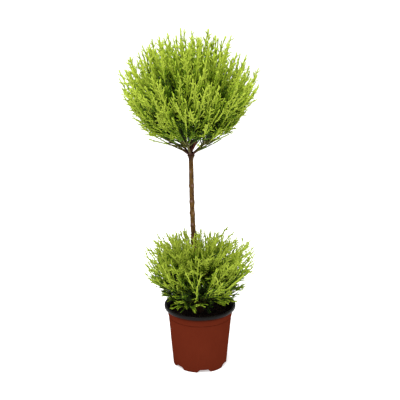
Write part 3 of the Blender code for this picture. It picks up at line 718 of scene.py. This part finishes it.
FORMS = {"crown": dict(pole_height=FORK_HEIGHT, tilt=CROWN_TILT, reach=crown_reach),
         "bush": dict(pole_height=BUSH_POLE_HEIGHT, tilt=0.0, reach=bush_reach)}
masses = []
for tier in TIERS:
    form = tier["name"].split("_")[0]
    pole_height, tilt, reach = FORMS[form].values()
    low, high = math.radians(tier["low"]), math.radians(tier["high"])
    lowest, rise = math.radians(tier["lowest"]), math.radians(tier["rise"])
    half = math.pi / tier["count"]
    whole = tier["count"] == 1
    middle = 0.0 if whole else low + (high - low) * STEM_MIDDLE
    for index in range(tier["count"]):
        azimuth = math.radians(tier["turn"]) + 2 * half * index
        pole = trunk_centre(np.float64(pole_height))
        root = trunk_centre(np.float64(pole_height + tier["height"]))
        out = tilted(heading(azimuth, rise), tilt)
        up = tilted(heading(azimuth, rise * BOUGH_UPTURN), tilt)
        bend = root + out * tier["bough"] * 0.5
        tip = root + (out + up) * tier["bough"] * 0.5
        direction = tilted(heading(azimuth, 0.0), tilt)
        if tier["bough"]:
            direction = slopes(root, bend, tip, [1.0])[0]
        stem_end = pole + tilted(heading(azimuth, middle) * reach(middle) * tier["stem"], tilt)
        stem_bend = tip + direction * np.linalg.norm(stem_end - tip) * STEM_BEND
        masses.append(SimpleNamespace(**dict(
            tier, form=form, tilt=tilt, reach=reach, low=low, high=high, lowest=lowest, half=half,
            whole=whole, azimuth=azimuth, pole=pole, root=root, bend=bend, tip=tip,
            direction=direction, stem_end=stem_end, stem_bend=stem_bend)))


def limb(start, bend, end, radii, rings, sides, seed):
    """A round limb along a quadratic curve, with bark relief, as points, quads and fans: each ring
    is its centre plus its radius times cosine and sine along two directions square to the curve."""
    shares = np.linspace(0, 1, rings)
    centre = curve(start, bend, end, shares)
    along = slopes(start, bend, end, shares)
    across = square_to(SIDEWAYS + 0 * along, along)
    normal = np.cross(along, across)
    angle = np.linspace(0, 2 * np.pi, sides, endpoint=False)
    height = (shares * np.linalg.norm(end - start))[:, None]
    radius = np.interp(shares, [0, 1], radii)[:, None] + 0 * angle
    radius += bark_relief(angle, radius, height, seed)
    rows = centre[:, None] + radius[..., None] * (across[:, None] * np.cos(angle)[:, None]
                                                  + normal[:, None] * np.sin(angle)[:, None])
    return lathed(centre[0], rows, centre[-1])


# Bark of this year's wood: thin and dull, in lighter and darker red-brown patches of 3 mm.
red_bark, shader = finish("red_cypress_bark", "#4a2014", roughness=0.7, specular=0.2)
patches = noise(red_bark, 0.003, detail=3.0)
mottled(red_bark, patches, "#34160b", "#5c2a18", {"Result": (shader, "Base Color")})
roughened(red_bark, shader, patches, strength=0.4, distance=0.0003)

# Soft young wood of the lowest limbs: still olive green, with brown where the bark is forming,
# and red brown all round where they leave the stem.
green_bark, shader = finish("green_cypress_bark", "#4a4a1c", roughness=0.65, specular=0.2)
patches = noise(green_bark, 0.006, detail=3.0)
mix = mottled(green_bark, patches, "#3c2a12", "#5e6622")
laid_over(green_bark, (mix, "Result"), "age", "#38180f", {"Result": (shader, "Base Color")})
roughened(green_bark, shader, patches, strength=0.3, distance=0.0003)

shares = np.concatenate([[0], np.repeat(np.linspace(0, 1, BOUGH_RINGS), BOUGH_SIDES), [1]])
for name, level, material in (("high", "_high", red_bark), ("low", "_low", green_bark)):
    boughs = [limb(mass.root, mass.bend, mass.tip, (BOUGH_ROOT_RADIUS, BOUGH_TIP_RADIUS),
                   BOUGH_RINGS, BOUGH_SIDES, BOUGH_SEED + number)
              for number, mass in enumerate(masses) if level in mass.name]
    piece = piece_from(f"{name}_bough_bark", *joined(boughs), [material])
    mark(piece, "age", np.tile(1 - ramp(shares, *WOODY_TO_GREEN), len(boughs)))
    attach(piece, "root")
    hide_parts(*[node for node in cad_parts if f"{level}_bough" in node])

for name, levels, material in (("high", ("_high", "_top"), red_bark), ("low", "_low", green_bark)):
    stems = [limb(mass.tip - mass.direction * STEM_OVERLAP, mass.stem_bend,
                  mass.stem_end, (STEM_ROOT_RADIUS, STEM_TIP_RADIUS), BOUGH_RINGS, STEM_SIDES,
                  STEM_SEED + number)
             for number, mass in enumerate(masses) if mass.name.endswith(levels)]
    piece = piece_from(f"{name}_stem_bark", *joined(stems), [material])
    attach(piece, "root")


# The shoots
# Feathery plumes of tiny scale leaves: each plume leaves its mass's stem, runs out to the plant's
# surface, and carries side shoots in two ranks, with short branchlets in two ranks on those.

PLUME_SEED = 23
SHOOT_SEED = 1023
GOLDEN = (math.sqrt(5) - 1) / 2
EDGE_ANGLE = math.radians(2)
AZIMUTH_SHARE = 1.35
POLAR_OVERLAP = math.radians(6)
FARTHEST_TIP = 1.2
FLATTEST = math.radians(88)
TOP = np.radians((28, 48))
SHOULDER = math.radians(34)
SHOULDER_WIDTH = math.radians(13)
LOW = np.radians((38, 62))
LOWEST = np.radians((50, 60))
AIM_SPREAD = 0.17
DEEP_SHARE = 0.5
LAST_JOINT = 0.62
BOUGH_JOINTS = (0.3, 1.0)
LOW_SWEEP_LOSS = 0.8
LONGEST_FAN = 0.13
BARE_SHARE = 0.12
LOW_BARE_SHARE = 0.28
TWIG_THICKNESS = 0.0010
LOW_TWIG_EXTRA = 0.7
CLEAR = np.radians((30, 60))
SIDE_ANGLE = math.radians(21)
SIDE_LENGTH = 0.027
SIDE_JITTER = 0.6
LAST_SIDE = 0.96
SIDE_FADE = 0.82
SIDE_FADE_POWER = 1.6
BRANCHLETS = 2
BRANCHLET_ANGLE = math.radians(26)
BRANCHLET_LENGTH = 0.010
BRANCHLET_PLACES = (0.28, 0.72)
BRANCHLET_FADE = 0.25
UNEVEN = (0.75, 1.25)
OUT_OF_PLANE = 0.35
CURL = 0.14
# Each kind of cord, as half its thickness and its number of scales.
PLUME_CORD = (0.00138, 9)
SIDE_CORD = (0.00108, 5)
BRANCHLET_CORD = (0.00098, 2)
SCALE_WAIST = 0.96
SCALE_FLARE = 1.16
SCALE_TIP = 0.8
CORD_TAPER = 0.25
SHOOT_GAP = 0.001
SHOOT_LIP_GAP = 0.002
TINT_MIDDLE = 5.5
# Painted light and shade on the leaves, in steps of tint: darker deep inside, lighter higher up.
PAINTED_SHADE_BY_DEPTH = 10.5
PAINTED_LIGHT_BY_HEIGHT = 1.2
LIT_HEIGHT = 0.6
CALM = (0.85, 1.0)
CALM_SHARE = 0.6
PLUME_TONES = 1.1
AXIS_TONE_SHARE = 0.5
AXIS_DARKER = 0.4
TINT_SCATTER = 0.3
# How the ball and the skirt differ. Shares of the dome's reach: farthest is where plumes end, with
# top_rise and shoulder_rise added there, and deeper is how much sooner the deep ones end. Shares
# that are missing low down: loss of plumes, shoot_loss of their side shoots. In steps of tint:
# side_tones is scatter, open_below is painted light on low axes, painted shade darkens the foot.
# Wander bends plumes sideways, clear is a radius without side shoots, and tall is the height of
# the form.
HABITS = {
    "crown": dict(tall=2 * CROWN_HALF_HEIGHT, farthest=1.045, top_rise=-0.005, shoulder_rise=0.05,
                  deeper=0.45, loss=0.75, wander=0.02, clear=0.038, shoots=14, shoot_loss=0.5,
                  thickness=1.0, side_tones=0.9, open_below=2.6, gloom=0.6),
    "bush": dict(tall=BUSH_REACH, farthest=1.09, top_rise=0.06, shoulder_rise=0.0,
                 deeper=0.65, loss=0.45, wander=0.16, clear=0.014, shoots=9, shoot_loss=0.2,
                 thickness=0.85, side_tones=1.7, open_below=0.0, gloom=3.1)}


def polar_spread(reach, low, high, shares):
    """Polar angles below which given shares of a dome's surface between two polar angles lie. It
    grows as the sum of the reach squared times the polar sine."""
    angles = np.linspace(low, high, 200)
    area = np.cumsum(reach(angles) ** 2 * np.sin(angles))
    return np.interp(shares * area[-1], area, angles)


def polar_of(points, mass):
    """Angles from the dome's tilted axis: the arc cosine of a point's height over its distance."""
    local = tilted(points - mass.pole, -mass.tilt)
    return np.arccos(np.clip(local[..., 2] / np.linalg.norm(local, axis=-1), -1, 1))


def plumes_of(mass, order):
    """Curves of one mass's plumes, aimed evenly over its part of the dome from joints up its stem.

    The bend lies under the middle of the run from joint to aim, by a share of the run that is
    largest where the run is level, so a plume sets out low and sweeps up to its tip.
    """
    rng = np.random.default_rng(PLUME_SEED + order)
    count = mass.plumes
    index = np.arange(count)
    offset = rng.random()
    across = ((index * GOLDEN + offset) % 1.0) * 2 - 1
    low_tier = mass.name.endswith("low")
    down_to = mass.high - EDGE_ANGLE if low_tier else mass.high + POLAR_OVERLAP
    up_to = max(mass.low - POLAR_OVERLAP, 0.0)
    polar = polar_spread(mass.reach, up_to, min(down_to, mass.lowest), (index + 0.5) / count)
    azimuth = mass.azimuth + across * mass.half * (1.0 if mass.whole else AZIMUTH_SHARE)
    depth = AIM_SPREAD * rng.random(count)
    deep = np.clip(rng.random(count) - DEEP_SHARE, 0, 1) / DEEP_SHARE
    shoulder = np.exp(-((polar - SHOULDER) / SHOULDER_WIDTH) ** 2)
    farthest = mass.farthest + mass.top_rise * (1 - smooth(polar, *TOP))
    farthest += mass.shoulder_rise * shoulder
    distance = mass.reach(polar) * (farthest - (depth + mass.deeper * deep))
    aims = mass.pole + tilted(heading(azimuth, polar) * distance[:, None], mass.tilt)
    tip, bend, end = mass.tip, mass.stem_bend, mass.stem_end
    ahead = slopes(tip, bend, end, [1.0])[0]
    aims = aims[np.argsort(unit(aims - end) @ ahead)]
    joints = LAST_JOINT * index / max(count - 1, 1)
    hanging = smooth(polar_of(aims, mass), *LOWEST)
    on_bough = (hanging > 0.5) & (mass.bough > 0)
    roots = np.where(on_bough[:, None],
                     curve(mass.root, mass.bend, tip, rng.uniform(*BOUGH_JOINTS, count)),
                     curve(tip, bend, end, joints))
    keep = rng.random(count) > mass.loss * hanging
    run = aims - roots
    far = np.linalg.norm(run, axis=1, keepdims=True)
    up = tilted(np.array([0.0, 0.0, 1.0]), mass.tilt)
    rise = up - run * (run @ up)[:, None] / far ** 2
    low = smooth(polar_of(aims, mass), *LOW)
    sweep = mass.sweep * (1 - LOW_SWEEP_LOSS * low)
    sides = headings(count, rng)
    bare = np.maximum(1 - LONGEST_FAN / far[:, 0], BARE_SHARE + LOW_BARE_SHARE * low)
    bends = roots + run * 0.5 - rise * far * sweep[:, None] + sides * far * mass.wander
    return np.stack([roots, bends, aims], axis=1)[keep], sides[keep], bare[keep], low[keep]


def side_curves(parents, sides, shares, angles, lengths, rng):
    """Curves that leave their parents to each side in turn: along the parent times the angle's
    cosine plus outwards times its sine, and for a last share, the curl, the parent's own way."""
    count, steps = shares.shape
    roots = curve(*parents.swapaxes(0, 1), shares)
    along = slopes(*parents.swapaxes(0, 1), shares)
    across = square_to(sides[:, None], along)
    normal = np.cross(along, across)
    rank = np.where(np.arange(steps) % 2, 1.0, -1.0)[:, None]
    open_angle = angles * rng.uniform(*UNEVEN, (count, steps, 1))
    tilt = rng.uniform(-OUT_OF_PLANE, OUT_OF_PLANE, (count, steps, 1))
    out = along * np.cos(open_angle) + (across * rank + normal * tilt) * np.sin(open_angle)
    reach = lengths * rng.uniform(*UNEVEN, (count, steps, 1))
    ends = roots + out * reach * (1 - CURL) + along * reach * CURL
    return np.stack([roots, roots + out * reach * 0.5, ends], axis=2).reshape(-1, 3, 3)


def scaly(curves, sides, thickness, scales):
    """Cords of overlapping scale leaves, each from a narrow waist to a wide tip. They are drawn
    about twice as coarse as real ones, so that they show and cost few triangles."""
    scale = np.arange(scales)
    shares = np.stack([scale, scale + SCALE_TIP], axis=1).ravel() / scales
    widths = np.tile([SCALE_WAIST, SCALE_FLARE], scales) * (1 - CORD_TAPER * shares)
    twist = np.tile([np.pi / 3, 0.0], scales)
    thickness = np.full(len(curves), thickness)
    return sticks(*curves.swapaxes(0, 1), sides, thickness, shares, widths, twist)


def in_room(points):
    """Which points are above the compost, and inside the pot's wall or above its lip."""
    beside = np.hypot(points[..., 0], points[..., 1])
    inside = (points[..., 2] > SOIL_TOP + SHOOT_GAP) & (beside < soil_edge - SHOOT_GAP)
    return inside | (points[..., 2] > POT_HEIGHT + SHOOT_LIP_GAP)


def share_of_reach(points, mass):
    """Points' distances from the pole, divided by the dome's reach in their directions."""
    polar = np.minimum(polar_of(points, mass), FLATTEST)
    return np.linalg.norm(points - mass.pole, axis=-1) / mass.reach(polar)


def tints_of(points, mass, tones, rng):
    """Tint of each cord, from the darkest: a rounded sum that grows with the share of the reach, as
    painted shade deep inside, with the height, as painted light on top, and with the cord's own
    tone, which counts less at the surface; painted shade makes it fall to the foot."""
    share = share_of_reach(points, mass)
    height = (points[:, 2] - mass.pole[2]) / mass.tall
    tones = tones * (1 - CALM_SHARE * smooth(share, *CALM))
    value = TINT_MIDDLE + PAINTED_SHADE_BY_DEPTH * (share - 1) + PAINTED_LIGHT_BY_HEIGHT * (height - LIT_HEIGHT)
    value = value + tones - mass.gloom * (1 - ramp(height, 0.0, LIT_HEIGHT))
    value += rng.normal(scale=TINT_SCATTER, size=len(points))
    return np.clip(np.round(value), 0, len(TINTS) - 1).astype(int)


# Scale leaves of lemon cypress: waxy, dull and yellow green, as lit and shaded copies: painted
# light makes them lighter on top and at the surface, painted shade deeper inside and low down.
TINTS = (("shaded", "#22330a"), ("inner", "#3b560b"), ("deep", "#587611"),
         ("mid", "#7c951d"), ("light", "#95aa2e"), ("tip", "#a1b33a"))
leaves = [finish(f"lemon_scale_leaves_{name}", colour, roughness=0.6, specular=0.15)[0]
          for name, colour in TINTS]

PARTS = (("low_crown", ("crown_low",)), ("high_crown", ("crown_high", "crown_top")),
         ("bush", ("bush_low", "bush_high")))
part_of = {tier: part for part, tiers in PARTS for tier in tiers}
blocks = {part: [[] for _ in TINTS] for part, _ in PARTS}
twigs_of_wood = {"high": [], "low": []}
for order, mass in enumerate(masses):
    vars(mass).update(HABITS[mass.form])
    rng = np.random.default_rng(SHOOT_SEED + order)
    plumes, sides, bare, low = plumes_of(mass, order)
    roots, bends, tips = plumes.swapaxes(0, 1)
    count = len(plumes)
    each = mass.shoots
    spaced = (np.arange(each) + rng.uniform(0, SIDE_JITTER, (count, each))) / each
    steps = bare[:, None] + (LAST_SIDE - bare[:, None]) * spaced
    fade = 1 - SIDE_FADE * np.linspace(0, 1, each) ** SIDE_FADE_POWER
    shoots = side_curves(plumes, sides, steps, SIDE_ANGLE, (SIDE_LENGTH * fade)[:, None], rng)
    shoot_sides = np.repeat(sides, each, axis=0)
    places = np.tile(np.linspace(*BRANCHLET_PLACES, BRANCHLETS), (len(shoots), 1))
    shorter = (BRANCHLET_LENGTH * (1 - BRANCHLET_FADE * np.linspace(0, 1, BRANCHLETS)))[:, None]
    sprigs = side_curves(shoots, shoot_sides, places, BRANCHLET_ANGLE, shorter, rng)
    sprig_sides = np.repeat(shoot_sides, BRANCHLETS, axis=0)
    tone = rng.normal(scale=PLUME_TONES, size=count)
    axis_tone = AXIS_TONE_SHARE * tone - AXIS_DARKER + mass.open_below * low
    side_tone = (tone[:, None] + rng.normal(scale=mass.side_tones, size=(count, each))).ravel()

    # A plume is split where its woody part ends, and its green part again in the middle: the middle
    # of a quadratic curve is half its bend and a quarter of each end. Each half has its own tint.
    split = curve(roots, bends, tips, bare[:, None])[:, 0]
    lower = roots + (bends - roots) * bare[:, None]
    upper = bends + (tips - bends) * bare[:, None]
    twigs_of_wood["low" if "_low" in mass.name else "high"].append(sticks(
        roots, lower, split, sides, TWIG_THICKNESS * (1 + LOW_TWIG_EXTRA * low),
        shares=np.linspace(0, 0.9, 4), widths=[1.1, 1.0, 1.0, 1.0], twist=np.zeros(4)))
    middle = split * 0.25 + upper * 0.5 + tips * 0.25
    inner = np.stack([split, (split + upper) / 2, middle], axis=1)
    outer = np.stack([middle, (upper + tips) / 2, tips], axis=1)
    grown = rng.random((count, each)) > mass.shoot_loss * low[:, None]

    # From plume to branchlet: a cord grows only where the cord that carries it has grown.
    kept = np.ones(count, bool)
    for curves, sides_of, cord, tones in (
            (inner, sides, PLUME_CORD, axis_tone), (outer, sides, PLUME_CORD, axis_tone),
            (shoots, shoot_sides, SIDE_CORD, side_tone),
            (sprigs, sprig_sides, BRANCHLET_CORD, np.repeat(side_tone, BRANCHLETS))):
        thickness, scales = cord
        on_axis = cord is PLUME_CORD
        kept = np.repeat(kept, len(curves) // len(kept))
        kept &= in_room(curves[:, 1]) & in_room(curves[:, 2])
        kept &= share_of_reach(curves[:, 2], mass) < FARTHEST_TIP
        if not on_axis:
            widening = smooth(polar_of(curves[:, 0], mass), *CLEAR)
            away = np.linalg.norm(curves[:, 0] - mass.pole, axis=1)
            kept &= away > mass.clear * (1 + widening)
            kept &= np.repeat(grown.ravel(), len(curves) // grown.size)
        seen_at = curves[:, 1:].mean(axis=1) if on_axis else curves[:, 2]
        tints = tints_of(seen_at, mass, tones, rng)
        for tint in range(len(TINTS)):
            chosen = kept & (tints == tint)
            if chosen.any():
                blocks[part_of[mass.name]][tint].append(scaly(
                    curves[chosen], sides_of[chosen], thickness * mass.thickness, scales))

for name, material in (("high", red_bark), ("low", green_bark)):
    points, triangles = joined(twigs_of_wood[name])
    piece = piece_from(f"{name}_twig_bark", points, (), triangles, [material])
    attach(piece, "root")

for part, tiers in PARTS:
    nodes = [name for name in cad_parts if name.startswith(tiers) and "foliage" in name]
    for tint, (name, _) in enumerate(TINTS):
        points, triangles = joined(blocks[part][tint])
        piece = piece_from(f"{part}_shoots_{name}", points, (), triangles, [leaves[tint]])
        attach(piece, "root")
        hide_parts(*nodes)


# The studio
# A seamless white table under a bright white sky, two soft boxes, one in front and one overhead,
# and a camera that looks a little down on the plant from the front.

FLOOR_HALF_WIDTH = 14.0
SKY_STRENGTH = 0.80
CAMERA_PLACE = (0.0, -1.825, 0.916)
CAMERA_PITCH = 17.6
CAMERA_LENS = 90.72
CAMERA_SENSOR = 36.0

# White paper: matt, and lit a little from within, so that it stays white up to the horizon.
paper, shader = finish("white_paper", "#f4f4f4", roughness=0.9, specular=0.1, ior=1.5)
shader.inputs["Emission Color"].default_value = (1, 1, 1, 1)
shader.inputs["Emission Strength"].default_value = 0.45
corners = FLOOR_HALF_WIDTH * np.array([[-1, -1, 0], [1, -1, 0], [1, 1, 0], [-1, 1, 0]])
floor = piece_from("floor", corners, [[0, 1, 2, 3]], (), [paper])
floor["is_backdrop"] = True

world = bpy.data.worlds.new("studio")
scene.world = world
world.use_nodes = True
sky = world.node_tree.nodes["Background"]
sky.inputs["Color"].default_value = (1, 1, 1, 1)
sky.inputs["Strength"].default_value = SKY_STRENGTH


def soft_box(name, place, target, size, power):
    """A square area light that faces a target point."""
    data = bpy.data.lights.new(name, "AREA")
    data.energy = power
    data.size = size
    light = bpy.data.objects.new(name, data)
    direction = np.array(target) - np.array(place)
    light.location = place
    light.rotation_euler = (math.acos(-direction[2] / np.linalg.norm(direction)), 0.0,
                            math.atan2(direction[1], direction[0]) - math.pi / 2)
    scene.collection.objects.link(light)


soft_box("key_light", (-0.4, -1.0, 2.0), (0, 0, 0.4), size=0.8, power=31)
soft_box("top_light", (0.1, 0.0, 2.1), (0, 0, 0.3), size=0.8, power=26)

camera_data = bpy.data.cameras.new("camera")
camera_data.lens = CAMERA_LENS
camera_data.sensor_width = CAMERA_SENSOR
camera = bpy.data.objects.new("camera", camera_data)
camera.location = CAMERA_PLACE
camera.rotation_euler = (math.radians(90 - CAMERA_PITCH), 0, 0)
scene.collection.objects.link(camera)
scene.camera = camera
scene.view_settings.view_transform = "Standard"

low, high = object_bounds()
